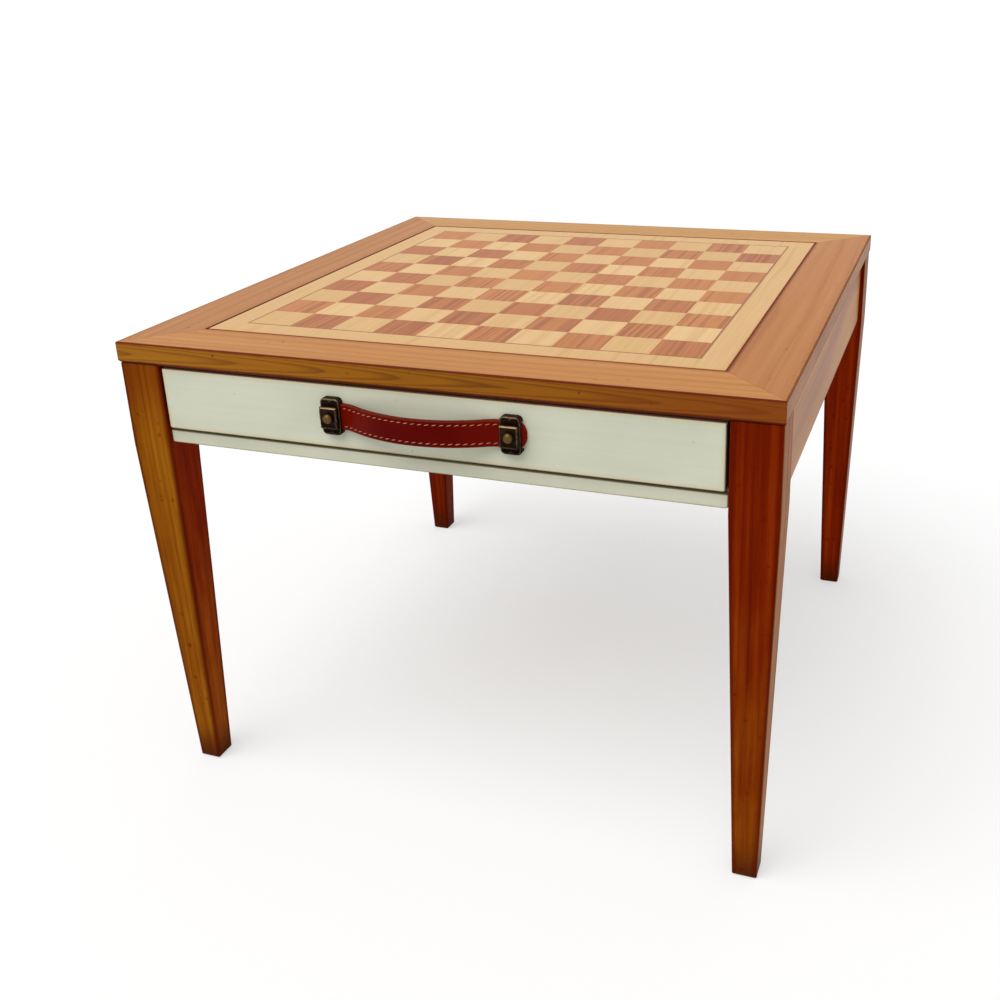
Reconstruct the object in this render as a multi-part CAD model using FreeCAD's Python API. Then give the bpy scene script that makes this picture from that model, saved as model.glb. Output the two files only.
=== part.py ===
"""Low square games table with an inlaid draughts and chess board and one drawer.

Millimetres, +Z up. The table stands on Z = 0 with its drawer to -Y. Shapes are made about the
table's own middle and moved at the end, so that the origin is the middle of the whole outline.
"""
import FreeCAD, Part
import math
import os

# ---- Board and top ----
square_size = 43.0
squares_per_side = 10
stringing_width = 2.0
border_width = 25.0
member_width = 58.0
veneer_thickness = 1.0
core_thickness = 18.0
tongue_depth = 6.0
tongue_thickness = 6.0
groove_width = 2.4
groove_depth = 1.6
top_lower_chamfer = 2.5
top_upper_round = 1.0
spline_length = 50.0
spline_width = 24.0
spline_thickness = 4.0

# ---- Underframe ----
table_height = 450.0
leg_inset = 1.0
leg_top = 41.0
leg_foot = 22.0
foot_ease = 1.5
leg_round = 1.5
apron_height = 74.0
apron_thickness = 18.0
apron_recess = 4.5
taper_gap = 4.0
tenon_thickness = 8.0
tenon_length = 20.0
tenon_shoulder = 6.0
rail_height = 13.0
rail_recess = 4.0
rail_round = 3.0
rail_tenon_length = 18.0
rail_tenon_height = 7.0
rail_tenon_depth = 20.0
rail_tenon_set_in = 7.0
top_rail_height = 12.0
top_rail_depth = 39.5
arris_round = 1.0

# ---- Drawer running gear ----
runner_thickness = 12.0
runner_bearing = 5.0
guide_height = 20.0
kicker_height = 14.0
stop_length = 20.0
stop_height = 15.0
stop_inset = 2.0
stop_side_gap = 1.0
guide_inset = 2.0
block_leg = 66.5
block_gap = 1.0

# ---- Drawer ----
drawer_face_recess = 1.0
drawer_front_thickness = 20.0
drawer_top_gap = 1.5
drawer_side_gap = 2.5
drawer_rail_gap = 2.0
drawer_front_round = 1.0
drawer_corner_round = 2.5
box_side_thickness = 12.0
box_back_thickness = 12.0
box_rear_room = 74.5
box_guide_clearance = 0.5
box_bearing_clearance = 0.3
box_kicker_clearance = 2.0
stop_clearance = 0.3
bottom_thickness = 5.0
bottom_rise = 7.0
bottom_groove = 5.0
back_drop = 4.0
back_housing = 4.0
tail_length = 13.0
tail_count = 2
tail_root = 9.0
tail_flare = 2.0

# ---- Strap handle ----
handle_pitch = 164.0
handle_rise = 1.5
strap_width = 23.0
strap_thickness = 4.5
strap_bow = 18.0
strap_end_radius = 30.0
strap_tab = 5.0
strap_tab_round = 6.0
plate_width = 18.5
plate_height = 33.0
plate_thickness = 2.0
plate_round = 1.2
plate_clearance = 0.3
clamp_width = 16.5
clamp_height = 19.5
clamp_thickness = 4.5
clamp_chamfer = 1.2
dome_radius = 4.6
dome_height = 3.0
dome_neck = 0.8
dome_screw_radius = 2.0
dome_screw_bite = 12.0
pin_head_radius = 1.4
pin_head_height = 0.8
pin_radius = 0.7
pin_bite = 8.0

# ---- Wood screws ----
screw_radius = 2.0
screw_head_radius = 3.8
screw_head_height = 2.4
screw_point = 4.0
guide_screw_count = 3
guide_screw_margin = 58.0
guide_screw_bite = 12.0
top_screw_count = 3
top_screw_margin = 78.0
top_screw_bite = 12.0
top_rail_screw_spread = 300.0
block_screw_offset = 26.0
block_screw_pocket = 4.5
block_screw_bite = 12.0
bottom_screw_count = 3
bottom_screw_margin = 71.0
bottom_screw_bite = 15.0

# ---- Worked out from the sizes above ----
field_half = square_size * squares_per_side / 2
stringing_half = field_half + stringing_width
panel_half = stringing_half + border_width
top_half = panel_half + member_width
top_thickness = core_thickness + 2 * veneer_thickness
under_top = table_height - top_thickness
core_base = under_top + veneer_thickness
core_top = table_height - veneer_thickness
leg_outer = top_half - leg_inset
leg_inner = leg_outer - leg_top
apron_outer = leg_outer - apron_recess
apron_inner = apron_outer - apron_thickness
apron_base = under_top - apron_height
apron_middle = (apron_inner + apron_outer) / 2
taper_start = apron_base - taper_gap
rail_top = apron_base + rail_height
rail_front = -(leg_outer - rail_recess)
drawer_face = -(leg_outer - drawer_face_recess)
drawer_front_back = drawer_face + drawer_front_thickness
drawer_half_width = leg_inner - drawer_side_gap
drawer_base = rail_top + drawer_rail_gap
drawer_top = under_top - drawer_top_gap
top_rail_front = drawer_front_back + box_guide_clearance
top_rail_back = top_rail_front + top_rail_depth
top_rail_base = under_top - top_rail_height
guide_face = drawer_half_width - guide_inset
box_half = guide_face - box_guide_clearance
box_inner = box_half - box_side_thickness
runner_inner = box_inner - runner_bearing
runner_base = rail_top - runner_thickness
guide_top = rail_top + guide_height
kicker_base = under_top - kicker_height
block_base = guide_top + block_gap
block_top = kicker_base - block_gap
block_middle = (block_base + block_top) / 2
box_base = rail_top + box_bearing_clearance
box_top = kicker_base - box_kicker_clearance
box_rear = apron_inner - box_rear_room
back_front = box_rear - box_back_thickness
bottom_base = box_base + bottom_rise
bottom_top = bottom_base + bottom_thickness
handle_middle = (drawer_base + drawer_top) / 2 + handle_rise
bracket_x = handle_pitch / 2
plate_back = drawer_face - strap_thickness
clamp_back = plate_back - plate_thickness
clamp_front = clamp_back - clamp_thickness
strap_front = drawer_face - strap_thickness - strap_bow
outline_shift = -(strap_front + top_half) / 2


def vector(x, y, z):
    """Point or direction in space."""
    return FreeCAD.Vector(x, y, z)


def box(x_pair, y_pair, z_pair):
    """Box between two values on each axis, given in either order."""
    low = vector(min(x_pair), min(y_pair), min(z_pair))
    sides = [max(pair) - min(pair) for pair in (x_pair, y_pair, z_pair)]
    return Part.makeBox(sides[0], sides[1], sides[2], low)


def prism(points, base, top):
    """Upright prism on a polygon given by its corners in plan."""
    corners = [vector(x, y, base) for x, y in points]
    outline = Part.makePolygon(corners + corners[:1])
    return Part.Face(outline).extrude(vector(0, 0, top - base))


def square_ring(inner, outer, base, top):
    """Square ring about the middle, from one half width to another."""
    hole = box((-inner, inner), (-inner, inner), (base, top))
    return box((-outer, outer), (-outer, outer), (base, top)).cut(hole)


def quarter_turns(shape, turns):
    """Copy of a shape turned about the table's middle by quarter turns."""
    turned = shape.copy()
    turned.rotate(vector(0, 0, 0), vector(0, 0, 1), 90 * turns)
    return turned


def mirrored(shape):
    """Copy of a shape on the other side of the table, left for right."""
    return shape.mirror(vector(0, 0, 0), vector(1, 0, 0))


def joined(shapes):
    """One solid from pieces that touch or overlap."""
    first = shapes[0]
    return first.fuse(shapes[1:]).removeSplitter()


def less(shape, cutters):
    """A shape with every cutter taken out of it."""
    for cutter in cutters:
        shape = shape.cut(cutter)
    return shape


def near(value, place):
    """Whether a coordinate is at a place, within a tenth of a millimetre."""
    return abs(value - place) < 0.1


def edges_along(shape, axis, accept):
    """Straight edges along one axis (0, 1 or 2) whose middle passes a test."""
    found = []
    for edge in shape.Edges:
        if not isinstance(edge.Curve, Part.Line):
            continue
        direction = edge.Curve.Direction
        middle = edge.BoundBox.Center
        if abs(direction[axis]) > 0.999 and accept(middle):
            found.append(edge)
    return found


def face_edges(shape, face):
    """Every edge round the upright face at one place along Y."""
    edges = [(edge, edge.BoundBox) for edge in shape.Edges]
    return [edge for edge, reach in edges if near(reach.YMin, face) and near(reach.YMax, face)]


def spread(count, low, high):
    """Evenly spaced places from the low end to the high end."""
    step = (high - low) / (count - 1)
    return [low + step * number for number in range(count)]


def upright_screw(x, y, seat, tip):
    """Countersunk wood screw pointing up, with its flat head flush with the seat."""
    head = Part.makeCone(
        screw_head_radius, screw_radius, screw_head_height, vector(x, y, seat)
    )
    neck = seat + screw_head_height
    shank = Part.makeCylinder(screw_radius, tip - screw_point - neck, vector(x, y, neck))
    point = Part.makeCone(screw_radius, 0, screw_point, vector(x, y, tip - screw_point))
    return joined([head, shank, point])


def laid_screw(axis, seat, tip, across, height):
    """The upright screw laid along +X or +Y, at a place across that axis and a height."""
    screw = upright_screw(0, 0, seat, tip)
    if axis == "X":
        screw.rotate(vector(0, 0, 0), vector(0, 1, 0), 90)
        screw.translate(vector(0, across, height))
        return screw
    screw.rotate(vector(0, 0, 0), vector(1, 0, 0), -90)
    screw.translate(vector(across, 0, height))
    return screw


# ---- Top: mitred frame round a veneered board ----

def mitre_wedge(base, top):
    """Quarter of the table in plan, between the two diagonals at the front."""
    reach = 2 * top_half
    return prism([(0, 0), (-reach, -reach), (reach, -reach)], base, top)


def mitred_pieces(ring, base, top):
    """The four mitred pieces of a square ring: front, right, back and left."""
    wedge = mitre_wedge(base, top)
    return [ring.common(quarter_turns(wedge, turns)) for turns in range(4)]


def mitre_splines():
    """Loose tongues glued across the four mitres."""
    middle = (panel_half + top_half) / 2
    base = under_top + (top_thickness - spline_thickness) / 2
    spline = box(
        (-spline_length / 2, spline_length / 2),
        (-spline_width / 2, spline_width / 2),
        (base, base + spline_thickness),
    )
    spline.rotate(vector(0, 0, 0), vector(0, 0, 1), 45)
    spline.translate(vector(middle, middle, 0))
    return [quarter_turns(spline, turns) for turns in range(4)]


def board_core():
    """Core board with a tongue all round it."""
    body = box((-panel_half, panel_half), (-panel_half, panel_half), (core_base, core_top))
    reach = panel_half + tongue_depth
    tongue_base = core_base + (core_thickness - tongue_thickness) / 2
    tongue = box((-reach, reach), (-reach, reach), (tongue_base, tongue_base + tongue_thickness))
    return joined([body, tongue])


def top_members():
    """The mitred frame members, with the decorative groove beside the board."""
    ring = square_ring(panel_half, top_half, under_top, table_height)
    lower = edges_along(ring, 0, lambda m: near(m.z, under_top) and near(abs(m.y), top_half))
    lower += edges_along(ring, 1, lambda m: near(m.z, under_top) and near(abs(m.x), top_half))
    ring = ring.makeChamfer(top_lower_chamfer, lower)
    upper = edges_along(ring, 0, lambda m: near(m.z, table_height) and near(abs(m.y), top_half))
    upper += edges_along(ring, 1, lambda m: near(m.z, table_height) and near(abs(m.x), top_half))
    ring = ring.makeFillet(top_upper_round, upper)
    groove = square_ring(
        panel_half, panel_half + groove_width, table_height - groove_depth, table_height
    )
    ring = less(ring, [groove, board_core()] + mitre_splines() + top_screws())
    return mitred_pieces(ring, under_top, table_height)


def board_squares(dark):
    """The light or the dark veneer squares. The near left corner square is light."""
    squares = []
    for column in range(squares_per_side):
        for row in range(squares_per_side):
            if (column + row) % 2 == int(dark):
                x = column * square_size - field_half
                y = row * square_size - field_half
                squares.append(
                    box((x, x + square_size), (y, y + square_size), (core_top, table_height))
                )
    return squares


def veneer_frame(inner, outer):
    """Four mitred strips of veneer round the field."""
    return mitred_pieces(square_ring(inner, outer, core_top, table_height), core_top, table_height)


# ---- Underframe ----

def rounded_square(size, z):
    """Wire of a square with rounded corners about the middle."""
    half = size / 2
    straight = half - leg_round
    bulge = straight + leg_round * math.sqrt(0.5)
    side = Part.makeLine(vector(half, -straight, z), vector(half, straight, z))
    corner = Part.Arc(vector(half, straight, z), vector(bulge, bulge, z), vector(straight, half, z))
    edges = []
    for turns in range(4):
        edges.append(quarter_turns(side, turns))
        edges.append(quarter_turns(corner.toShape(), turns))
    return Part.Wire(Part.__sortEdges__(edges))


def leg(side, end):
    """One square leg, tapered on all four faces below the aprons, with its foot eased."""
    upper = Part.Face(rounded_square(leg_top, taper_start))
    upper = upper.extrude(vector(0, 0, under_top - taper_start))
    sections = [
        rounded_square(leg_foot - 2 * foot_ease, 0),
        rounded_square(leg_foot, foot_ease),
        rounded_square(leg_top, taper_start),
    ]
    lower = Part.makeLoft(sections, True, True)
    whole = joined([upper, lower])
    middle = leg_outer - leg_top / 2
    whole.translate(vector(side * middle, end * middle, 0))
    return less(whole, all_tenons())


def apron_tenons():
    """Tenons at both ends of the right side apron, mitred where two would meet in a leg."""
    across = (apron_middle - tenon_thickness / 2, apron_middle + tenon_thickness / 2)
    height = (apron_base + tenon_shoulder, under_top - tenon_shoulder)
    reach = (leg_inner, leg_inner + tenon_length)
    quarter = quarter_turns(mitre_wedge(apron_base, under_top), 1)
    tenons = [box(across, reach, height), box(across, (-reach[0], -reach[1]), height)]
    return [tenon.common(quarter) for tenon in tenons]


def apron_board():
    """Right side apron with its tenons, before any screw holes."""
    board = box((apron_inner, apron_outer), (-leg_inner, leg_inner), (apron_base, under_top))
    lower = edges_along(board, 1, lambda m: near(m.z, apron_base))
    return joined([board.makeFillet(arris_round, lower)] + apron_tenons())


def side_apron():
    """Right side apron, with holes for the guide's and the corner block's screws."""
    return less(apron_board(), guide_screws() + side_block_screws())


def back_apron():
    """Back apron, the same board as a side apron, with holes for the corner blocks' screws."""
    return less(quarter_turns(apron_board(), 1), back_block_screws())


def rail_tenons():
    """Tenons at both ends of the lower front rail and of the upper one behind the drawer."""
    reach = (leg_inner, leg_inner + rail_tenon_length)
    low_middle = rail_top - rail_height / 2
    high_middle = under_top - top_rail_height / 2
    tenons = []
    places = ((low_middle, rail_front + rail_tenon_set_in), (high_middle, top_rail_front))
    for middle, front in places:
        height = (middle - rail_tenon_height / 2, middle + rail_tenon_height / 2)
        depth = (front, min(front + rail_tenon_depth, -leg_inner))
        tenons.append(box(reach, depth, height))
        tenons.append(box((-reach[0], -reach[1]), depth, height))
    return tenons


def all_tenons():
    """Every tenon that enters a leg."""
    sides = apron_tenons()
    back = [quarter_turns(tenon, 1) for tenon in sides]
    return sides + [mirrored(tenon) for tenon in sides] + back + rail_tenons()


def front_rail():
    """Lower front rail under the drawer, with rounded corners and eased arrises."""
    depth = (rail_front, -leg_inner)
    board = box((-leg_inner, leg_inner), depth, (apron_base, rail_top))
    board = board.makeFillet(rail_round, edges_along(board, 1, lambda m: True))
    board = board.makeFillet(arris_round, face_edges(board, rail_front))
    return joined([board] + rail_tenons()[:2])


def front_top_rail():
    """Upper front rail, hidden behind the top of the drawer front."""
    depth = (top_rail_front, top_rail_back)
    board = box((-leg_inner, leg_inner), depth, (top_rail_base, under_top))
    return less(joined([board] + rail_tenons()[2:]), top_rail_screws())


def runner():
    """Right runner, which carries the drawer side."""
    return box((runner_inner, apron_inner), (-leg_inner, leg_inner), (runner_base, rail_top))


def guide():
    """Right guide, which keeps the drawer square on its runner."""
    strip = box((guide_face, apron_inner), (-leg_inner, leg_inner), (rail_top, guide_top))
    return less(strip, guide_screws())


def kicker():
    """Right kicker, which stops the open drawer from tipping and carries the top's screws."""
    strip = box((runner_inner, apron_inner), (top_rail_back, leg_inner), (kicker_base, under_top))
    return less(strip, kicker_screws())


def drawer_stops():
    """Blocks on the runners that the closed drawer's sides meet."""
    start = box_rear + stop_clearance
    width = (runner_inner + stop_inset, box_half - stop_side_gap)
    stop = box(width, (start, start + stop_length), (rail_top, rail_top + stop_height))
    return [stop, mirrored(stop)]


def corner_block():
    """Right back corner block, cut round the leg and screwed to both aprons."""
    tip = apron_inner - block_leg
    plan = [
        (apron_inner, tip), (apron_inner, leg_inner), (leg_inner, leg_inner),
        (leg_inner, apron_inner), (tip, apron_inner),
    ]
    block = prism(plan, block_base, block_top)
    pocket = Part.makeCylinder(block_screw_pocket, block_leg, vector(0, 0, 0), vector(1, 0, 0))
    place = tip + block_screw_offset
    pocket.translate(vector(block_seat() - block_leg, place, block_middle))
    other = pocket.copy()
    other.rotate(vector(0, 0, 0), vector(0, 0, 1), 90)
    other = other.mirror(vector(0, 0, 0), vector(1, 0, 0))
    return less(block, [pocket, other] + side_block_screws() + back_block_screws())


# ---- Screws ----

def block_seat():
    """How far out the corner blocks' screw heads begin, on the floor of their pockets."""
    return apron_inner - block_screw_offset + block_screw_pocket


def side_block_screws():
    """Screws from the back corner blocks into the side aprons."""
    place = apron_inner - block_leg + block_screw_offset
    screw = laid_screw("X", block_seat(), apron_inner + block_screw_bite, place, block_middle)
    return [screw, mirrored(screw)]


def back_block_screws():
    """Screws from the back corner blocks into the back apron."""
    place = apron_inner - block_leg + block_screw_offset
    screw = laid_screw("Y", block_seat(), apron_inner + block_screw_bite, place, block_middle)
    return [screw, mirrored(screw)]


def guide_screws():
    """Screws through the guides into the side aprons."""
    height = rail_top + guide_height / 2
    reach = leg_inner - guide_screw_margin
    tip = apron_inner + guide_screw_bite
    places = spread(guide_screw_count, -reach, reach)
    screws = [laid_screw("X", guide_face, tip, place, height) for place in places]
    return screws + [mirrored(screw) for screw in screws]


def kicker_screws():
    """Screws up through the kickers into the top."""
    place = (leg_inner + apron_inner) / 2
    reach = leg_inner - top_screw_margin
    tip = under_top + top_screw_bite
    places = spread(top_screw_count, -reach, reach)
    screws = [upright_screw(place, y, kicker_base, tip) for y in places]
    return screws + [mirrored(screw) for screw in screws]


def top_rail_screws():
    """Screws up through the hidden front rail into the top."""
    place = (top_rail_front + top_rail_back) / 2
    tip = under_top + top_screw_bite
    half = top_rail_screw_spread / 2
    return [upright_screw(x, place, top_rail_base, tip) for x in (-half, half)]


def top_screws():
    """Every screw that holds the top down."""
    return kicker_screws() + top_rail_screws()


def drawer_bottom_screws():
    """Screws up through the drawer bottom into the drawer back."""
    reach = box_inner - bottom_screw_margin
    tip = bottom_top + bottom_screw_bite
    middle = (back_front + box_rear) / 2
    places = spread(bottom_screw_count, -reach, reach)
    return [upright_screw(x, middle, bottom_base, tip) for x in places]


# ---- Drawer ----

def dovetails():
    """Tails of the right drawer side, which enter the drawer front from behind."""
    pitch = (box_top - drawer_base) / tail_count
    tails = []
    for number in range(tail_count):
        middle = drawer_base + pitch * (number + 0.5)
        root = tail_root / 2
        tip = root + tail_flare
        corners = [
            vector(box_inner, drawer_front_back, middle - root),
            vector(box_inner, drawer_front_back, middle + root),
            vector(box_inner, drawer_front_back - tail_length, middle + tip),
            vector(box_inner, drawer_front_back - tail_length, middle - tip),
        ]
        outline = Part.makePolygon(corners + corners[:1])
        tails.append(Part.Face(outline).extrude(vector(box_side_thickness, 0, 0)))
    return tails


def drawer_bottom():
    """Thin bottom board, grooved into the front and sides and screwed under the back."""
    reach = box_inner + bottom_groove
    depth = (drawer_front_back - bottom_groove, box_rear)
    return box((-reach, reach), depth, (bottom_base, bottom_top))


def drawer_back():
    """Back of the drawer, housed in the sides and standing on the bottom."""
    reach = box_inner + back_housing
    return box((-reach, reach), (back_front, box_rear), (bottom_top, box_top - back_drop))


def drawer_side():
    """Right side of the drawer, dovetailed to the front."""
    side = box((box_inner, box_half), (drawer_front_back, box_rear), (box_base, box_top))
    return less(joined([side] + dovetails()), [drawer_bottom(), drawer_back()])


def drawer_front():
    """Drawer front with rounded corners and half-blind sockets for the sides' tails."""
    width = (-drawer_half_width, drawer_half_width)
    depth = (drawer_face, drawer_front_back)
    front = box(width, depth, (drawer_base, drawer_top))
    front = front.makeFillet(drawer_corner_round, edges_along(front, 1, lambda m: True))
    front = front.makeFillet(drawer_front_round, face_edges(front, drawer_face))
    sockets = dovetails()
    sockets += [mirrored(tail) for tail in dovetails()]
    return less(front, sockets + [drawer_bottom()] + handle_screws() + plate_pins())


# ---- Strap handle ----

def strap_end():
    """How far out the strap's tabs end."""
    return bracket_x + plate_width / 2 + strap_tab


def strap_face(offset):
    """Edges of one face of the strap in plan, an offset out from the drawer front."""
    half_span = bracket_x - plate_width / 2
    turn = 2 * math.atan(strap_bow / half_span)
    radius = strap_end_radius - offset
    foot = drawer_face - offset

    def bend_point(angle):
        """Place on the left end arc after it has turned by an angle."""
        along = -half_span + radius * math.sin(angle)
        return vector(along, foot - radius * (1 - math.cos(angle)), 0)

    tab = Part.makeLine(vector(-strap_end(), foot, 0), bend_point(0))
    bend = Part.Arc(bend_point(0), bend_point(turn / 2), bend_point(turn)).toShape()
    crown = vector(0, foot - strap_bow, 0)
    far_bend = vector(-bend_point(turn).x, bend_point(turn).y, 0)
    bow = Part.Arc(bend_point(turn), crown, far_bend).toShape()
    return [tab, bend, bow, mirrored(bend), mirrored(tab)]


def handle_strap():
    """Stitched leather strap, bowed out from the drawer, with rounded tabs past its plates."""
    edges = strap_face(0) + strap_face(strap_thickness)
    inner = vector(strap_end(), drawer_face, 0)
    outer = vector(strap_end(), plate_back, 0)
    edges.append(Part.makeLine(inner, outer))
    edges.append(mirrored(Part.makeLine(inner, outer)))
    outline = Part.Wire(Part.__sortEdges__(edges))
    strap = Part.Face(outline).extrude(vector(0, 0, strap_width))
    strap.translate(vector(0, 0, handle_middle - strap_width / 2))
    corners = edges_along(strap, 1, lambda m: near(abs(m.x), strap_end()))
    return less(strap.makeFillet(strap_tab_round, corners), handle_screws())


def strap_plate():
    """Right plate, bent over the strap with its lips on the drawer front."""
    width = (bracket_x - plate_width / 2, bracket_x + plate_width / 2)
    height = (handle_middle - plate_height / 2, handle_middle + plate_height / 2)
    opening = strap_width / 2 + plate_clearance
    plate = box(width, (clamp_back, drawer_face), height)
    outer = edges_along(plate, 0, lambda m: near(m.y, clamp_back))
    plate = plate.makeFillet(plate_round, outer)
    room = box(width, (plate_back, drawer_face), (handle_middle - opening, handle_middle + opening))
    return less(plate, [room] + handle_screws() + plate_pins())


def clamp_block():
    """Right raised block on the plate, with chamfered edges and the domed screw in it."""
    block = box(
        (bracket_x - clamp_width / 2, bracket_x + clamp_width / 2),
        (clamp_front, clamp_back),
        (handle_middle - clamp_height / 2, handle_middle + clamp_height / 2),
    )
    front = edges_along(block, 0, lambda m: near(m.y, clamp_front))
    front += edges_along(block, 2, lambda m: near(m.y, clamp_front))
    return less(block.makeChamfer(clamp_chamfer, front), handle_screws())


def handle_screws():
    """Domed screws through the blocks, plates and strap into the drawer front."""
    bulge = (dome_radius ** 2 + dome_height ** 2) / (2 * dome_height)
    ball = Part.makeSphere(bulge, vector(0, 0, dome_neck + dome_height - bulge))
    cap = Part.makeCylinder(dome_radius, dome_height + dome_neck, vector(0, 0, 0)).common(ball)
    shank_length = drawer_face + dome_screw_bite - clamp_front
    shank = Part.makeCylinder(dome_screw_radius, shank_length, vector(0, 0, -shank_length))
    screw = joined([cap, shank])
    screw.rotate(vector(0, 0, 0), vector(1, 0, 0), 90)
    screw.translate(vector(bracket_x, clamp_front, handle_middle))
    return [screw, mirrored(screw)]


def plate_pins():
    """Small pins through the plates' upper and lower lips."""
    lip = (strap_width / 2 + plate_clearance + plate_height / 2) / 2
    pins = []
    inward = vector(0, 1, 0)
    length = drawer_face + pin_bite - clamp_back
    for x in (-bracket_x, bracket_x):
        for z in (handle_middle - lip, handle_middle + lip):
            place = vector(x, clamp_back, z)
            head = Part.makeCylinder(pin_head_radius, pin_head_height, place, inward)
            shank = Part.makeCylinder(pin_radius, length, place, inward)
            pins.append(joined([head, shank]))
    return pins


# ---- Writing the pieces ----

def write_piece(name, shapes):
    """Write one node, a single solid or a group of separate ones, at its final place."""
    if isinstance(shapes, list):
        shapes = Part.makeCompound(shapes)
    placed = shapes.copy()
    placed.translate(vector(0, outline_shift, 0))
    placed.exportStep("parts/" + name + ".step")


def write_pair(name, shape):
    """Write a right-hand piece and its mirror image on the left."""
    write_piece(name + "_right", shape)
    write_piece(name + "_left", mirrored(shape))


def write_top():
    """The framed board."""
    members = top_members()
    for name, member in zip(("front", "right", "back", "left"), members):
        write_piece("top_member_" + name, member)
    write_piece("mitre_splines", mitre_splines())
    write_piece("board_core", board_core())
    backing = box((-panel_half, panel_half), (-panel_half, panel_half), (under_top, core_base))
    write_piece("board_backing", backing)
    write_piece("light_squares", board_squares(False))
    write_piece("dark_squares", board_squares(True))
    write_piece("board_stringing", veneer_frame(field_half, stringing_half))
    write_piece("board_border", veneer_frame(stringing_half, panel_half))
    write_piece("top_screws", top_screws())


def write_underframe():
    """Legs, aprons and rails."""
    write_piece("leg_front_left", leg(-1, -1))
    write_piece("leg_front_right", leg(1, -1))
    write_piece("leg_back_left", leg(-1, 1))
    write_piece("leg_back_right", leg(1, 1))
    write_pair("side_apron", side_apron())
    write_piece("back_apron", back_apron())
    write_piece("front_rail", front_rail())
    write_piece("front_top_rail", front_top_rail())
    write_pair("corner_block", corner_block())
    write_piece("corner_block_screws", side_block_screws() + back_block_screws())


def write_running_gear():
    """What the drawer slides on, between and against."""
    write_pair("drawer_runner", runner())
    write_pair("drawer_guide", guide())
    write_pair("drawer_kicker", kicker())
    write_piece("guide_screws", guide_screws())
    write_piece("drawer_stops", drawer_stops())


def write_drawer():
    """The drawer and its strap handle."""
    write_piece("drawer_front", drawer_front())
    write_pair("drawer_side", drawer_side())
    write_piece("drawer_back", less(drawer_back(), drawer_bottom_screws()))
    write_piece("drawer_bottom", less(drawer_bottom(), drawer_bottom_screws()))
    write_piece("drawer_bottom_screws", drawer_bottom_screws())
    write_piece("handle_strap", handle_strap())
    write_pair("strap_plate", strap_plate())
    write_pair("clamp_block", clamp_block())
    write_piece("handle_screws", handle_screws())
    write_piece("plate_pins", plate_pins())


os.makedirs("parts", exist_ok=True)
write_top()
write_underframe()
write_running_gear()
write_drawer()
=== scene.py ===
import math

import bmesh
import bpy
from mathutils import Euler, Matrix, Vector


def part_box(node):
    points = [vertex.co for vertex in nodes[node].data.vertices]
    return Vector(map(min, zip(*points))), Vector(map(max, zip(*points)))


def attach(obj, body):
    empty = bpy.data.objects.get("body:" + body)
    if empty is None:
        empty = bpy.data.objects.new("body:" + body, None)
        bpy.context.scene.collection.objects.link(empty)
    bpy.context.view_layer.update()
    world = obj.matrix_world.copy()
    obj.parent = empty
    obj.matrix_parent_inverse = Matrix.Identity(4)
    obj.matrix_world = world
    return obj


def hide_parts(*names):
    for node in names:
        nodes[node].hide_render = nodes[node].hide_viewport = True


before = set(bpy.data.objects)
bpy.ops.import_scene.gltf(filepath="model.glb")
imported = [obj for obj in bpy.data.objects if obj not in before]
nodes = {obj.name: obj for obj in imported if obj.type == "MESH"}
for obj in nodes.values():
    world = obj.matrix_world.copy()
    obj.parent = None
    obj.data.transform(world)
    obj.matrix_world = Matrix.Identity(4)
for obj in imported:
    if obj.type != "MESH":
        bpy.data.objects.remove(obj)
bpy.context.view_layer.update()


# ---- Camera ----
# The eye is in front of the table, to the right of its drawer and about 0.3 m higher than its top.
# The lens shift only frames the table.
scene = bpy.context.scene
camera_place = (0.4181, -1.0801, 0.7373)
camera_tilt = math.radians(90 - 20.75)
camera_turn = math.radians(20.45)
camera_roll = math.radians(-1.78)
camera_data = bpy.data.cameras.new("camera")
camera_data.sensor_width = 36.0
camera_data.lens = 41.31
camera_data.shift_x = -0.06
camera_data.shift_y = -0.08
camera = bpy.data.objects.new("camera", camera_data)
scene.collection.objects.link(camera)
bpy.context.scene.camera = camera
camera_aim = Euler((camera_tilt, 0, camera_turn)).to_matrix() @ Matrix.Rotation(camera_roll, 3, "Z")
camera.matrix_world = Matrix.Translation(camera_place) @ camera_aim.to_4x4()


# ---- Floor and light ----
# A white floor that runs out to a white surround, one broad soft lamp overhead, and an even light
# from all round.
class Flow:
    """One output of a material's nodes. Arithmetic on it adds the Math nodes."""

    def __init__(self, finish, socket):
        self.finish = finish
        self.socket = socket

    def math(self, operation, *others):
        inputs = dict(enumerate((self,) + others))
        return self.finish.node("Math", {"operation": operation}, inputs)

    def reflected(self, operation, other):
        """The same operation with this flow as its second value."""
        return self.finish.node("Math", {"operation": operation}, {0: other, 1: self})

    def __add__(self, other):
        return self.math("ADD", other)

    def __sub__(self, other):
        return self.math("SUBTRACT", other)

    def __rsub__(self, other):
        return self.reflected("SUBTRACT", other)

    def __mul__(self, other):
        return self.math("MULTIPLY", other)

    def __truediv__(self, other):
        return self.math("DIVIDE", other)

    def __rtruediv__(self, other):
        return self.reflected("DIVIDE", other)

    def __abs__(self):
        return self.math("ABSOLUTE")

    __radd__ = __add__
    __rmul__ = __mul__


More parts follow.
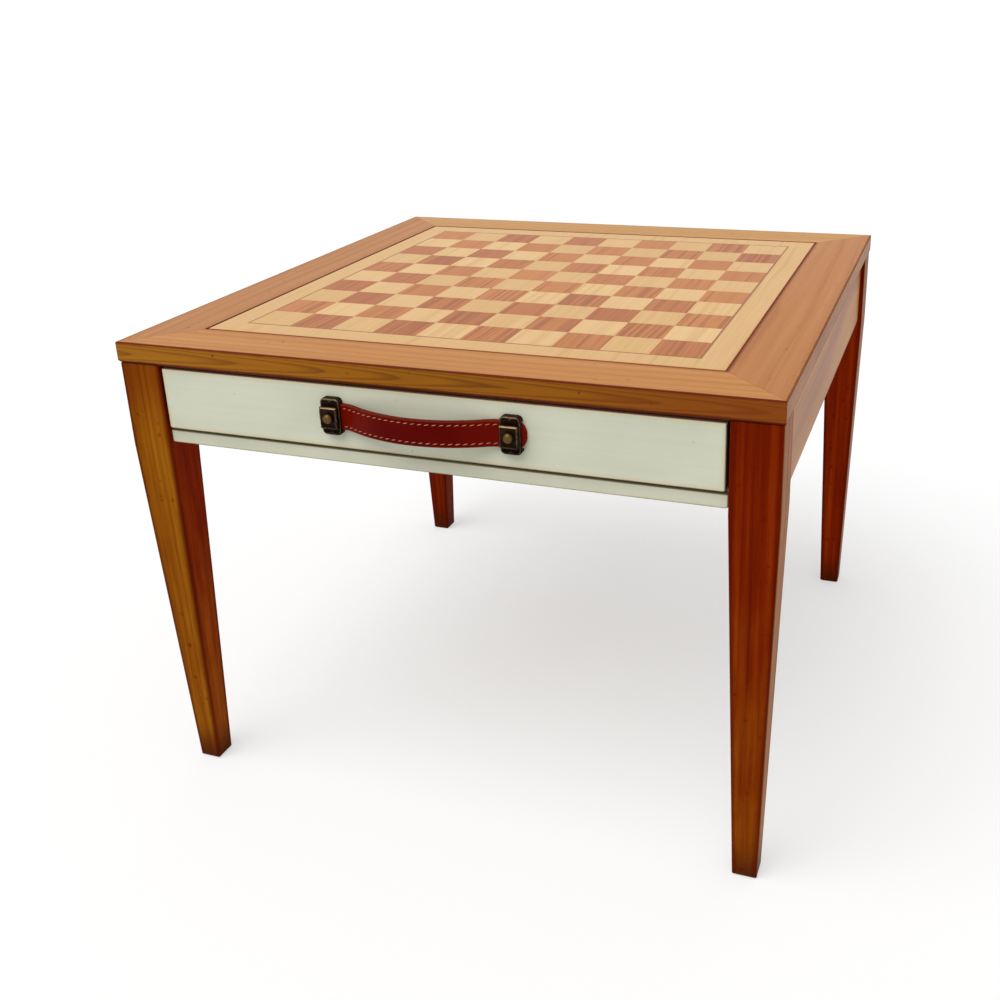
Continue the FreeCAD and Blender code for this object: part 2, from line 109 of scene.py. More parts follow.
class Finish:
    """A material in the making: its shader, and one method that adds any other node."""

    def __init__(self, name, constants):
        self.material = bpy.data.materials.new(name)
        self.material.use_nodes = True
        self.tree = self.material.node_tree
        self.shader = self.tree.nodes["Principled BSDF"]
        for socket, value in constants.items():
            self.put(socket, value)

    def feed(self, socket, value):
        """Put a flow, a number, a colour or a vector into a socket."""
        if isinstance(value, Flow):
            self.tree.links.new(value.socket, socket)
        elif isinstance(value, tuple) and socket.type == "RGBA":
            socket.default_value = value + (1.0,)
        else:
            socket.default_value = value

    def node(self, kind, settings, inputs, output=0):
        """One output of a new node, from its type, its settings and what its sockets take."""
        made = self.tree.nodes.new("ShaderNode" + kind)
        for setting, value in settings.items():
            if setting == "stops":
                while len(made.color_ramp.elements) < len(value):
                    made.color_ramp.elements.new(1.0)
                for element, (place, colour) in zip(made.color_ramp.elements, value):
                    element.position = place
                    element.color = colour + (1.0,)
            else:
                setattr(made, setting, value)
        for socket, value in inputs.items():
            self.feed(made.inputs[socket], value)
        return Flow(self, made.outputs[output])

    def place(self):
        """The point's x, y and z in metres."""
        point = self.node("TexCoord", {}, {}, "Object")
        return [self.node("SeparateXYZ", {}, {0: point}, axis) for axis in range(3)]

    def vector(self, x, y, z):
        return self.node("CombineXYZ", {}, {0: x, 1: y, 2: z})

    def noise(self, point, detail=2.0, roughness=0.5, scale=1.0):
        """Cloudy value from 0 to 1, read at a point of three values."""
        place = self.vector(*point)
        inputs = {"Vector": place, "Scale": scale, "Detail": detail, "Roughness": roughness}
        return self.node("TexNoise", {}, inputs, "Fac")

    def ramp(self, value, stops):
        """Colour, or grey value, from a list of places and colours."""
        return self.node("ValToRGB", {"stops": stops}, {0: value})

    def step(self, value, low, high):
        """Smooth rise from 0 at low to 1 at high."""
        settings = {"interpolation_type": "SMOOTHSTEP"}
        return self.node("MapRange", settings, {0: value, 1: low, 2: high})

    def mix(self, amount, first, second, blend="MIX"):
        """Mix of two colours."""
        settings = {"data_type": "RGBA", "blend_type": blend}
        return self.node("Mix", settings, {0: amount, 6: first, 7: second}, 2)

    def tinted(self, colour, tint):
        """A colour times a tint."""
        return self.mix(1.0, colour, tint, "MULTIPLY")

    def put(self, socket, value):
        self.feed(self.shader.inputs[socket], value)

    def bump(self, height, distance, strength):
        """Relief of a height map in metres times the distance."""
        inputs = {"Height": height, "Distance": distance, "Strength": strength}
        self.put("Normal", self.node("Bump", {}, inputs))

    def coat(self, name):
        """Give the finish to one of the frame's nodes."""
        nodes[name].material_slots[0].material = self.material


def shade(red, green, blue):
    """Screen colour of 0 to 255 as the linear colour that the shader takes."""
    def linear(level):
        part = level / 255
        return part / 12.92 if part <= 0.04045 else ((part + 0.055) / 1.055) ** 2.4
    return linear(red), linear(green), linear(blue)


def grey(level):
    return (level,) * 3


scene.view_settings.view_transform = "Standard"

floor_size = 60.0
floor_level = 0.5
floor_finish = Finish("white_floor", {"Roughness": 0.9, "Base Color": grey(floor_level)})
to_eye = floor_finish.node("LightPath", {}, {}, "Is Camera Ray")
to_gloss = floor_finish.node("LightPath", {}, {}, "Is Glossy Ray")
is_seen = to_eye.math("MAXIMUM", to_gloss)
floor_finish.put("Emission Color", floor_finish.mix(is_seen, grey(0.0), grey(1 - floor_level)))
floor_finish.put("Emission Strength", 1.0)
bpy.ops.mesh.primitive_plane_add(size=floor_size)
floor = bpy.context.object
floor.name = "floor"
floor.data.materials.append(floor_finish.material)

surround_light = 0.52
world = bpy.data.worlds.new("surround")
world.use_nodes = True
scene.world = world
surround = world.node_tree
background = surround.nodes["Background"]
background.inputs["Color"].default_value = (1.0, 1.0, 1.0, 1.0)
light_path = surround.nodes.new("ShaderNodeLightPath")
seen = surround.nodes.new("ShaderNodeMath")
seen.operation = "MAXIMUM"
surround.links.new(light_path.outputs["Is Camera Ray"], seen.inputs[0])
surround.links.new(light_path.outputs["Is Glossy Ray"], seen.inputs[1])
strength = surround.nodes.new("ShaderNodeMapRange")
strength.inputs["To Min"].default_value = surround_light
surround.links.new(seen.outputs[0], strength.inputs["Value"])
surround.links.new(strength.outputs[0], background.inputs["Strength"])

lamp_aim = Vector((0.25, 0.45, -1.0))
lamp_data = bpy.data.lights.new("soft_lamp", "SUN")
lamp_data.energy = 1.75
lamp_data.angle = math.radians(50)
lamp = bpy.data.objects.new("soft_lamp", lamp_data)
lamp.rotation_euler = lamp_aim.to_track_quat("-Z", "Y").to_euler()
scene.collection.objects.link(lamp)


# ---- Mitred frame of the top ----
# Four cherry members round the board, stained and varnished satin. Their outer edges are more
# golden and mottled, their arrises rubbed dark, and dark stain lies in the groove by the board.
# Their lower chamfer is painted dark as the shade under the top's edge.
pith_drift = 0.022
ring_wave = 0.003
ring_profile = [
    (0.0, grey(0.3)), (0.5, grey(0.15)), (0.84, grey(0.8)), (0.93, grey(1.0)), (1.0, grey(0.3)),
]


def timber(finish, along, pith, ring, seed):
    """Growth rings, streaks and fibres, 0 to 1, of a board whose grain runs along one axis."""
    point = dict(zip("xyz", finish.place()))
    others = [point[axis] for axis in "xyz" if axis != along]
    length = point[along] + seed
    across = others[0] + pith[0]
    rise = others[1] + pith[1]

    def grain(lengthwise, crosswise, detail=2.0, roughness=0.5):
        """Noise with so many clouds to the metre along the grain and across it."""
        stretched = (length * lengthwise, across * crosswise, rise * crosswise)
        return finish.noise(stretched, detail, roughness)

    radius = (across * across + rise * rise).math("SQRT")
    radius = radius + grain(2.0, 5.0) * pith_drift + grain(9, 30) * ring_wave
    turn = radius / ring
    turn = turn + finish.noise((turn * 0.45, seed, 0.0)) * 1.8
    rings = finish.ramp(turn.math("FRACT"), ring_profile)
    streaks = grain(2.2, 150, 5.0, 0.62)
    pores = finish.step(grain(110, 2600, 1.0), 0.60, 0.74)
    return rings, streaks, grain(40, 1500) + pores * 0.8


def dents(finish, size, spacing, share, seed):
    """Mask of small scattered dents: their size, the cell each sits in, and the share kept."""
    x, y, z = finish.place()
    cells = {"Vector": finish.vector(x + seed, y, z), "Scale": 1 / spacing}
    far = finish.node("TexVoronoi", {}, cells, "Distance")
    pick = finish.node("TexVoronoi", {}, cells, "Color")
    keep = finish.step(finish.node("SeparateColor", {}, {0: pick}), 1 - share, 1 - share * 0.8)
    ragged = finish.noise((x, y, z), scale=0.9 / size) * size
    return keep * (1 - finish.step(far * spacing + ragged * 1.2, size * 0.6, size * 1.4))


def mottle(finish, spread):
    """Broad tints, warm to pinkish, where the stain has taken unevenly: clouds per metre."""
    point = [place * clouds for place, clouds in zip(finish.place(), spread)]
    taken = finish.noise(point, 1.0)
    return finish.ramp(taken, [(0.38, (1.38, 1.40, 1.00)), (0.62, (0.96, 0.80, 0.72))])


board_low, board_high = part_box("board_core")
table_middle = (board_low.y + board_high.y) / 2
frame_low, frame_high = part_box("top_member_front")
top_half = frame_high.x
top_under = frame_low.z
top_face = frame_high.z
panel_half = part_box("board_backing")[1].x
groove_width = 0.0024
mitre_line = 0.0003
edge_blend = 0.0012
lower_chamfer = 0.0025
frame_ring = 0.012
cherry = [(0.2, shade(204, 142, 72)), (0.5, shade(190, 124, 52)), (0.85, shade(164, 96, 32))]
ochre = [(0.2, shade(186, 122, 22)), (0.45, shade(166, 102, 10)), (0.8, shade(128, 70, 0))]
ochre_red = shade(140, 56, 4)
# Dark red for rubbed arrises and dents, also used as painted shade on the top's chamfer and the legs'
# shoulders.
patina_and_shade = shade(96, 16, 0)
groove_stain = shade(134, 56, 20)


def edge_colour(finish, along, seed, streaks, fibres):
    """Golden stain of a member's outer edge, with the long arches of its grain."""
    x, y, z = finish.place()
    run = x if along == "x" else y
    rise = (z - (top_under + top_face) / 2) / (top_face - top_under)
    swirl = finish.noise((run * 5.0, seed, z * 22.0))
    arches = finish.ramp((rise * rise * 12 + run * 11 + swirl * 2.2).math("FRACT"), ring_profile)
    deeper = finish.step(x, -0.30, 0.10)
    colour = finish.ramp(arches * 0.42 + streaks * 0.4 + fibres * 0.1 + deeper * 0.2, ochre)
    if along == "x":
        colour = finish.mix(finish.step(x, 0.05, 0.30) * 0.6, colour, ochre_red)
    return colour


def frame_member(name, along, pith, seed, tint, golden):
    """Finish of one member and the node it goes on, with how golden its outer edge is."""
    finish = Finish(name + "_finish", {"Specular IOR Level": 0.14})
    x, y, z = finish.place()
    sideways, frontways = abs(x), abs(y - table_middle)
    reach = sideways.math("MAXIMUM", frontways)

    rings, streaks, fibres = timber(finish, along, pith, frame_ring, seed)
    colour = finish.tinted(finish.ramp(rings * 0.24 + streaks * 0.48 + fibres * 0.25, cherry), tint)
    on_edge = finish.step(reach, top_half - edge_blend, top_half - edge_blend / 3)
    colour = finish.mix(on_edge, colour, finish.tinted(colour, mottle(finish, (8, 8, 10))))
    golden_edge = edge_colour(finish, along, seed, streaks, fibres)
    colour = finish.mix(on_edge * golden, colour, golden_edge)

    in_groove = 1 - finish.step(reach, panel_half + groove_width, panel_half + groove_width * 2.1)
    mitre = 1 - finish.step(abs(sideways - frontways), mitre_line, mitre_line * 3)
    colour = finish.mix((in_groove * 0.85).math("MAXIMUM", mitre * 0.35), colour, groove_stain)

    lift = (top_face - z).math("MINIMUM", z - top_under - lower_chamfer * 0.6)
    arris = (top_half - reach).math("MAXIMUM", lift)
    worn = finish.noise((x * 60, y * 60, z * 60), 3.0)
    rubbed = 1 - finish.step(arris, 0.0004, 0.0010 + worn * 0.0032)
    # Painted shade: the lower chamfer is darkened as the shade under the top's edge.
    shaded_chamfer = 1 - finish.step(z, top_under + lower_chamfer * 0.9, top_under + lower_chamfer * 1.3)
    spots = dents(finish, size=0.0024, spacing=0.0120, share=0.30, seed=seed) * 0.85
    # Dark where the arrises are rubbed and dented, and painted shade on the chamfer.
    stain_and_shade = rubbed.math("MAXIMUM", shaded_chamfer).math("MAXIMUM", spots)
    finish.put("Base Color", finish.mix(stain_and_shade * (0.4 + golden * 0.5), colour, patina_and_shade))
    finish.put("Roughness", 0.36 + streaks * 0.12 + stain_and_shade * 0.2)
    finish.bump(rings * 0.15 + fibres * 0.25 - spots * 1.5, 0.0003, 0.4)
    finish.coat(name)


frame_member("top_member_front", "x", (0.33, -0.4325), 0.7, tint=(1.0, 1.0, 1.0), golden=1.0)
# The back member's lighter, bluer tint is partly painted sheen and partly the wood's own tone.
frame_member("top_member_back", "x", (-0.35, -0.43), 3.1, tint=(1.02, 1.2, 1.36), golden=0.8)
frame_member("top_member_left", "y", (0.33, -0.38), 5.3, tint=(0.86, 0.82, 0.9), golden=0.8)
frame_member("top_member_right", "y", (-0.24, -0.39), 8.9, tint=(0.88, 0.8, 0.8), golden=0.55)


# ---- Inlaid board ----
# Squares of two veneers laid with their grain from front to back, a thin brown line round them,
# and a wide light border of the same wood as the light squares, with a darker line at its rim.
rim_width = 0.0009
rim_fade = 0.0007
rim_stain = shade(188, 108, 46)


def veneer(name, stops, figure, streak, band, leaf, leaves):
    """Straight-grained veneer with bands so far apart, from so many leaves, each with its tone."""
    finish = Finish(name + "_finish", {"Specular IOR Level": 0.22})
    x, y, _ = finish.place()
    frontways = y - table_middle
    column = (x / leaf + leaves / 2).math("FLOOR")
    row = (frontways / leaf + leaves / 2).math("FLOOR")
    cell = {"Vector": finish.vector(column, row, 0.5)}
    chance = finish.node("TexWhiteNoise", {}, cell, "Value")
    draws = finish.node("TexWhiteNoise", {}, cell, "Color")
    figured = finish.node("SeparateColor", {}, {0: draws}, 1)

    wander = finish.noise((x * 9, y * 6, chance * 30))
    across = x + wander * 0.010 + chance * 3.1
    broad = finish.noise((across / band, y * 3.0, chance * 9.0))
    fine = finish.noise((across * 560, y * 9.0, 0.0))
    pores = finish.noise((x * 2600, y * 160, 0.0), 1.0)
    tone = (fine - 0.5) * streak + (pores - 0.5) * 0.25 + (chance - 0.5) * 0.7 + 0.5
    bands = finish.step(broad + (figured - 0.5) * 0.16, 0.48, 0.68)
    colour = finish.mix(bands * (0.3 + fine * 0.75), finish.ramp(tone, stops), figure)
    reach = abs(x).math("MAXIMUM", abs(frontways))
    rim = finish.step(reach, panel_half - rim_width, panel_half - rim_width + rim_fade)
    finish.put("Base Color", finish.mix(rim * 0.9, colour, rim_stain))
    finish.put("Roughness", 0.36 + fine * 0.14)
    finish.bump(pores, 0.0001, 0.35)
    finish.coat(name)


field_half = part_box("light_squares")[1].x
squares_across = 10
square_size = 2 * field_half / squares_across
one_leaf = field_half * 4
light_band = 0.0067
dark_band = 0.0044
light_leaf = [(0.1, shade(230, 190, 130)), (0.9, shade(212, 166, 102))]
light_figure = shade(212, 166, 102)
dark_leaf = [(0.1, shade(198, 124, 56)), (0.9, shade(172, 94, 36))]
dark_figure = shade(146, 72, 12)
border_leaf = [(0.1, shade(232, 192, 134)), (0.9, shade(214, 168, 106))]
border_figure = shade(204, 156, 92)
brown_line = [(0.1, shade(180, 122, 56)), (0.9, shade(150, 92, 34))]
brown_figure = shade(136, 86, 40)
veneer("light_squares", light_leaf, light_figure, 0.5, light_band, square_size, squares_across)
veneer("dark_squares", dark_leaf, dark_figure, 0.9, dark_band, square_size, squares_across)
veneer("board_border", border_leaf, border_figure, 0.6, light_band, one_leaf, 1)
veneer("board_stringing", brown_line, brown_figure, 0.8, light_band, one_leaf, 1)


# ---- Legs ----
# Square cherry legs, tapered on all four faces and stained darker than the top: golden on some
# faces and russet on others, with rubbed dark arrises and darker feet. The shoulders and upper legs
# are painted redder and darker as shade under the top, and each face is lightened or darkened by
# painted light. The faces at the table's sides are painted less red as sheen and have a thicker
# coat of varnish.
gold = [(0.15, shade(180, 112, 20)), (0.5, shade(158, 88, 8)), (0.9, shade(120, 56, 2))]
russet = [(0.15, shade(148, 50, 2)), (0.5, shade(126, 32, 0)), (0.9, shade(96, 16, 0))]
foot_brown = shade(70, 32, 10)
leg_ring = 0.008
pith_off = (0.043, 0.031)
taper_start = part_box("front_rail")[0].z - 0.004
half_foot = 0.011
face_blend = 0.0012


def stained(finish, along, pith, ring, seed, redness):
    """Colour and relief of dark cherry, between its golden and its russet heart."""
    rings, streaks, fibres = timber(finish, along, pith, ring, seed)
    tone = rings * 0.20 + streaks * 1.4 + fibres * 0.2 - 0.41
    colour = finish.mix(redness, finish.ramp(tone, gold), finish.ramp(tone, russet))
    return colour, rings * 0.15 + fibres * 0.25


def leg_finish(name, seed, reds, painted_light):
    """Finish of one leg, with how red its front and back, and its sides, are, and the painted light
    on each.
    """
    front_redness, side_redness = reds
    front_painted_light, side_painted_light = painted_light
    low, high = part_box(name)
    middle_x = (low.x + high.x) / 2
    middle_y = (low.y + high.y) / 2
    half_top = (high.x - low.x) / 2
    finish = Finish(name + "_finish", {"Specular IOR Level": 0.02, "Coat Roughness": 0.3})
    x, y, z = finish.place()
    across = abs(x - middle_x)
    depth = abs(y - middle_y)
    sideways = finish.step(across - depth, -face_blend, face_blend)
    outer = finish.step(abs(x) - abs(middle_x) - depth, -face_blend, face_blend)
    # Painted shade: the shoulders under the top are made redder and darker.
    shaded_shoulder = finish.step(z, taper_start, top_under)
    foot = 1 - finish.step(z, 0.004, 0.045)
    blotches = finish.noise((x * 45, y * 45, z * 14), 3.0)

    redness = sideways * (side_redness - front_redness) + front_redness
    # Redder towards the top: painted shade under the table top.
    redness = redness * (finish.step(z, 0.02, taper_start) * 0.5 + 0.5) + (blotches - 0.5) * 0.5
    redness = redness.math("MAXIMUM", shaded_shoulder * 0.45).math("MAXIMUM", foot * 0.6)
    # Painted sheen: the faces at the table's sides are made less red, beside their coat's real gloss.
    redness = redness * (1 - outer * 0.7)
    pith = (pith_off[0] - middle_x, pith_off[1] - middle_y)
    colour, relief = stained(finish, "z", pith, leg_ring, seed, redness)
    # Painted light: each face is made lighter or darker to stand in for how much light it gets.
    level = sideways * (side_painted_light - front_painted_light) + front_painted_light
    colour = finish.tinted(colour, finish.vector(level, level, level))
    colour = finish.mix((1 - finish.step(z, -0.004, 0.048)) * 0.85, colour, foot_brown)

    half = (z / taper_start).math("MINIMUM", 1.0) * (half_top - half_foot) + half_foot
    arris = half - across.math("MINIMUM", depth)
    worn = finish.noise((x * 50, y * 50, z * 50), 3.0)
    rubbed = 1 - finish.step(arris, 0.0003, 0.0026 + worn * 0.0075)
    rubbed = rubbed * (0.95 - outer * 0.6)
    spots = dents(finish, size=0.0042, spacing=0.0115, share=0.56, seed=seed) * 0.72
    cloud = finish.step(blotches, 0.5, 0.8) * 0.35
    stain_and_shade = rubbed.math("MAXIMUM", shaded_shoulder * (1 - outer) * 0.3).math("MAXIMUM", spots)
    finish.put("Base Color", finish.mix(stain_and_shade.math("MAXIMUM", cloud) * 0.85, colour, patina_and_shade))
    finish.put("Roughness", 0.4 + worn * 0.1)
    finish.put("Coat Weight", outer * 0.12)
    finish.bump(relief - spots * 1.5, 0.0003, 0.4)
    finish.coat(name)


leg_finish("leg_front_left", 1.3, reds=(0.0, 1.05), painted_light=(0.95, 1.4))
leg_finish("leg_front_right", 4.7, reds=(1.1, 0.0), painted_light=(1.05, 1.15))
leg_finish("leg_back_left", 7.9, reds=(2.2, 1.9), painted_light=(0.9, 1.0))
leg_finish("leg_back_right", 11.2, reds=(2.2, 0.8), painted_light=(1.6, 1.0))


# ---- Aprons ----
# Cherry aprons at the sides and the back, tenoned into the legs. They are golden and paler than
# the legs, the paleness partly painted sheen, and their stain is mottled along the grain.
apron_ring = 0.010


def near_arris(finish, low, high):
    """Distance in metres from a point on a box's surface to the box's nearest edge."""
    gaps = []
    for axis, point in enumerate(finish.place()):
        gaps.append((point - low[axis]).math("MINIMUM", high[axis] - point))
    first, second, third = gaps
    larger = first.math("MAXIMUM", second).math("MINIMUM", third)
    return first.math("MINIMUM", second).math("MAXIMUM", larger)


def apron_finish(name, along, pith, seed):
    """Finish of one apron and the node it goes on."""
    finish = Finish(name + "_finish", {"Specular IOR Level": 0.10})
    low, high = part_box(name)
    pale_cherry_sheen = cherry[0][1]
    colour, relief = stained(finish, along, pith, apron_ring, seed, 0.12)
    # Paled towards the lightest cherry: partly the wood's tone and partly painted sheen.
    colour = finish.mix(0.45, colour, pale_cherry_sheen)
    drawn_out = (2.5, 8, 26) if along == "x" else (8, 2.5, 26)
    colour = finish.tinted(colour, mottle(finish, drawn_out))
    rubbed = 1 - finish.step(near_arris(finish, low, high), 0.0003, 0.003)
    spots = dents(finish, size=0.0034, spacing=0.0150, share=0.30, seed=seed) * 0.8
    finish.put("Base Color", finish.mix(rubbed.math("MAXIMUM", spots) * 0.75, colour, patina_and_shade))
    finish.put("Roughness", 0.38 + spots * 0.2)
    finish.bump(relief - spots * 1.5, 0.0003, 0.4)
    finish.coat(name)


apron_finish("side_apron_left", "y", (0.24, -0.30), 2.2)
apron_finish("side_apron_right", "y", (-0.33, -0.36), 6.4)
apron_finish("back_apron", "x", (-0.34, -0.34), 9.5)


# ---- Painted drawer front and lower rail ----
# Wood under thin celadon ivory paint, brushed on lengthwise, rubbed back to a beige ground along
# the edges, with a few knocks. The drawer front's top arris is painted dark as the shade under the
# top's overhang; the rail's is bare stained wood in the painted shade of the gap. The drawer
# front's ends are bare stained wood, and a line at the rail's ends is painted shade by the legs.
paint = [(0.3, shade(240, 241, 222)), (0.7, shade(224, 227, 205))]
paint_ground = shade(226, 214, 172)
paint_grime = shade(100, 84, 52)
paint_knock = shade(110, 98, 70)
# Bare end grain on the drawer front's ends, and painted shade along the rail's ends.
end_grain_and_shade = [(0.35, shade(112, 74, 44)), (0.65, shade(76, 46, 26))]
leg_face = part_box("leg_front_right")[0].x


def painted(name, rub_width, tint, top_stain_and_shade, top_band_drop, end_line):
    """One painted board: how far it is rubbed in, the stain and painted shade on its top arris and
    its ends' line.
    """
    finish = Finish(name + "_finish", {"Specular IOR Level": 0.3})
    low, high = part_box(name)
    x, y, z = finish.place()
    brushed = finish.noise((x * 5, y * 300, z * 300), 3.0)
    cloudy = finish.noise((x * 10, y * 10, z * 16), 3.0)
    worn = finish.noise((x * 45, y * 45, z * 45), 3.0)
    arris = near_arris(finish, low, high)

    colour = finish.tinted(finish.ramp(brushed * 0.25 + cloudy * 0.75, paint), tint)
    rubbed = 1 - finish.step(arris, rub_width * 0.15, rub_width * (worn + 0.5))
    colour = finish.mix(rubbed * 0.7, colour, paint_ground)
    grimy = 1 - finish.step(arris, 0.0002, 0.0008 + worn * 0.0012)
    colour = finish.mix(grimy * 0.8, colour, paint_grime)
    # Painted shade: a dark band along the top arris; on the drawer front the shade under the top's
    # overhang, on the rail bare wood in the shade of the gap.
    stain_and_shade_band = finish.step(z, high.z - top_band_drop, high.z - top_band_drop * 0.5)
    stain_and_shade_band = stain_and_shade_band * (1 - finish.step(y - low.y, 0.0015, 0.0060 + worn * 0.002))
    colour = finish.mix(stain_and_shade_band * 0.9, colour, top_stain_and_shade)
    # On the drawer front this covers only its bare end grain; on the rail it is a painted shade line
    # beside the legs.
    end = min(high.x, leg_face)
    at_ends = 1 - finish.step(end - abs(x), end_line * 0.6, end_line * 1.2)
    colour = finish.mix(at_ends, colour, finish.ramp(brushed, end_grain_and_shade))
    knocks = dents(finish, size=0.0013, spacing=0.010, share=0.12, seed=3.0)
    finish.put("Base Color", finish.mix(knocks * 0.7, colour, paint_knock))
    finish.put("Roughness", 0.5 + brushed * 0.15)
    finish.bump(brushed * 0.5 - knocks, 0.0003, 0.4)
    finish.coat(name)


# The drawer front's top band is painted shade; the rail's is bare wood and painted shade.
painted("drawer_front", rub_width=0.0055, tint=(0.97, 0.97, 0.93), top_stain_and_shade=shade(96, 36, 18),
        top_band_drop=0.0013, end_line=0.0001)
painted("front_rail", rub_width=0.0026, tint=(0.94, 0.92, 0.87), top_stain_and_shade=shade(92, 76, 48),
        top_band_drop=0.0020, end_line=0.0015)


# ---- Hidden joinery ----
# Planed pine for what the eye doesn't meet: the drawer's box, what it runs on and stops at, the
# upper rail, the corner blocks and the mitres' splines. The drawer's bottom and the board's core
# and backing are birch plywood.
def bare_wood(name, along, pith, seed, stops, ring):
    """Finish of one unvarnished board and the node it goes on."""
    finish = Finish(name + "_finish", {"Specular IOR Level": 0.3})
    rings, streaks, fibres = timber(finish, along, pith, ring, seed)
    finish.put("Base Color", finish.ramp(rings * 0.5 + streaks * 0.4 + fibres * 0.2, stops))
    finish.put("Roughness", 0.6 + fibres * 0.15)
    finish.bump(rings * 0.2 + fibres * 0.4, 0.0003, 0.6)
    finish.coat(name)


pine = [(0.2, shade(226, 192, 142)), (0.9, shade(190, 142, 88))]
pine_ring = 0.006
pine_boards = {
    "x": ["drawer_back", "front_top_rail", "corner_block_left", "corner_block_right"],
    "y": ["drawer_side_left", "drawer_side_right", "drawer_runner_left", "drawer_runner_right",
          "drawer_guide_left", "drawer_guide_right", "drawer_kicker_left", "drawer_kicker_right",
          "drawer_stops", "mitre_splines"],
}
for along, names in pine_boards.items():
    for number, name in enumerate(names):
        pith = (0.11 + 0.05 * number, -0.31 - 0.02 * number)
        bare_wood(name, along, pith, 1.7 * number + 0.4, pine, pine_ring)

birch = [(0.2, shade(218, 188, 144)), (0.9, shade(196, 160, 114))]
birch_ring = 0.03
for name in ("drawer_bottom", "board_backing", "board_core"):
    bare_wood(name, "x", (0.4, -0.05), 2.6, birch, birch_ring)


# ---- Leather strap ----
# Two layers of cognac leather, glued and stitched near both edges, bowed out from the drawer
# front. Its ends pass under the plates and show as rounded tabs beyond them.
strap_low, strap_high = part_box("handle_strap")
plate_low, plate_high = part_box("strap_plate_right")
drawer_face = strap_high.y
handle_middle = (strap_low.z + strap_high.z) / 2
half_span = plate_low.x
strap_half = (strap_high.z - strap_low.z) / 2
strap_thickness = 0.0045
strap_edge_round = 0.0011
stitch_stand = 0.0006
bow = strap_high.y - strap_low.y - strap_thickness - stitch_stand
end_radius = 0.030
tab_reach = strap_high.x - 0.0012
tab_taper = 0.008
strap_step = 0.0012
round_steps = 4
sharp_above = math.radians(40)


def strap_line(offset):
    """Places in plan, x and distance out, along the right half of the strap from its middle."""
    turn = 2 * math.atan(bow / half_span)
    radius = end_radius - offset
    start_x = half_span - radius * math.sin(turn)
    start_out = offset + radius * (1 - math.cos(turn))
    crown_out = offset + bow
    sag = crown_out - start_out
    bow_radius = (start_x ** 2 + sag ** 2) / (2 * sag)
    sweep = math.asin(start_x / bow_radius)
    line = []
    steps = math.ceil(bow_radius * sweep / strap_step)
    for step in range(steps):
        angle = sweep * step / steps
        line.append((bow_radius * math.sin(angle), crown_out - bow_radius * (1 - math.cos(angle))))
    steps = math.ceil(end_radius * turn / strap_step)
    for step in range(steps + 1):
        angle = turn * (1 - step / steps)
        line.append((half_span - radius * math.sin(angle), offset + radius * (1 - math.cos(angle))))
    flat = strap_high.x - half_span
    steps = math.ceil(flat / strap_step) * 2
    for step in range(1, steps + 1):
        line.append((half_span + flat * step / steps, offset))
    return line


def finished(name, made):
    """Object from a bmesh, smooth except across sharp edges."""
    mesh = bpy.data.meshes.new(name)
    made.to_mesh(mesh)
    made.free()
    mesh.shade_smooth()
    mesh.set_sharp_from_angle(angle=sharp_above)
    piece = bpy.data.objects.new(name, mesh)
    scene.collection.objects.link(piece)
    return piece


def swept(name, rows, wear=None):
    """Closed mesh from rows of points, with how worn each row is."""
    made = bmesh.new()
    worn = made.verts.layers.float.new("wear")
    grid = [[made.verts.new(point) for point in row] for row in rows]
    for row, amount in zip(grid, wear or [0.0] * len(grid)):
        for corner in row:
            corner[worn] = amount
    for row, next_row in zip(grid, grid[1:]):
        for number, corner in enumerate(row):
            after = (number + 1) % len(row)
            made.faces.new((corner, row[after], next_row[after], next_row[number]))
    made.faces.new(grid[0])
    made.faces.new(grid[-1])
    bmesh.ops.recalc_face_normals(made, faces=made.faces)
    return finished(name, made)


def strap_section(inner, outer, half_height):
    """Points round the strap's section between a place on its back and one on its face."""
    back = Vector((inner[0], drawer_face - inner[1], 0.0))
    face = Vector((outer[0], drawer_face - outer[1], 0.0))
    out = (face - back).normalized()
    thickness = (face - back).length
    points = []
    for number, (side, rise) in enumerate(((1, 1), (1, -1), (-1, -1), (-1, 1))):
        for step in range(round_steps + 1):
            angle = math.radians(90) * step / round_steps
            first, second = math.sin(angle), math.cos(angle)
            if number % 2 == 1:
                first, second = second, first
            from_face = strap_edge_round * (1 - first)
            height = half_height - strap_edge_round * (1 - second)
            depth = thickness - from_face if side > 0 else from_face
            points.append(back + out * depth + Vector((0, 0, handle_middle + rise * height)))
    return points


def tab_height(x):
    """Half height of the strap at a place along it, rounded towards its ends."""
    past = max(0.0, x - (tab_reach - tab_taper)) / tab_taper
    return max(strap_edge_round, strap_half * math.sqrt(max(0.0, 1 - past ** 2)))


right_rows = []
for inner, outer in zip(strap_line(0.0), strap_line(strap_thickness)):
    if inner[0] < tab_reach:
        right_rows.append(strap_section(inner, outer, tab_height(inner[0])))
left_rows = []
for row in reversed(right_rows[1:]):
    left_rows.append([Vector((-point.x, point.y, point.z)) for point in row])
strap = swept("stitched_strap", left_rows + right_rows)

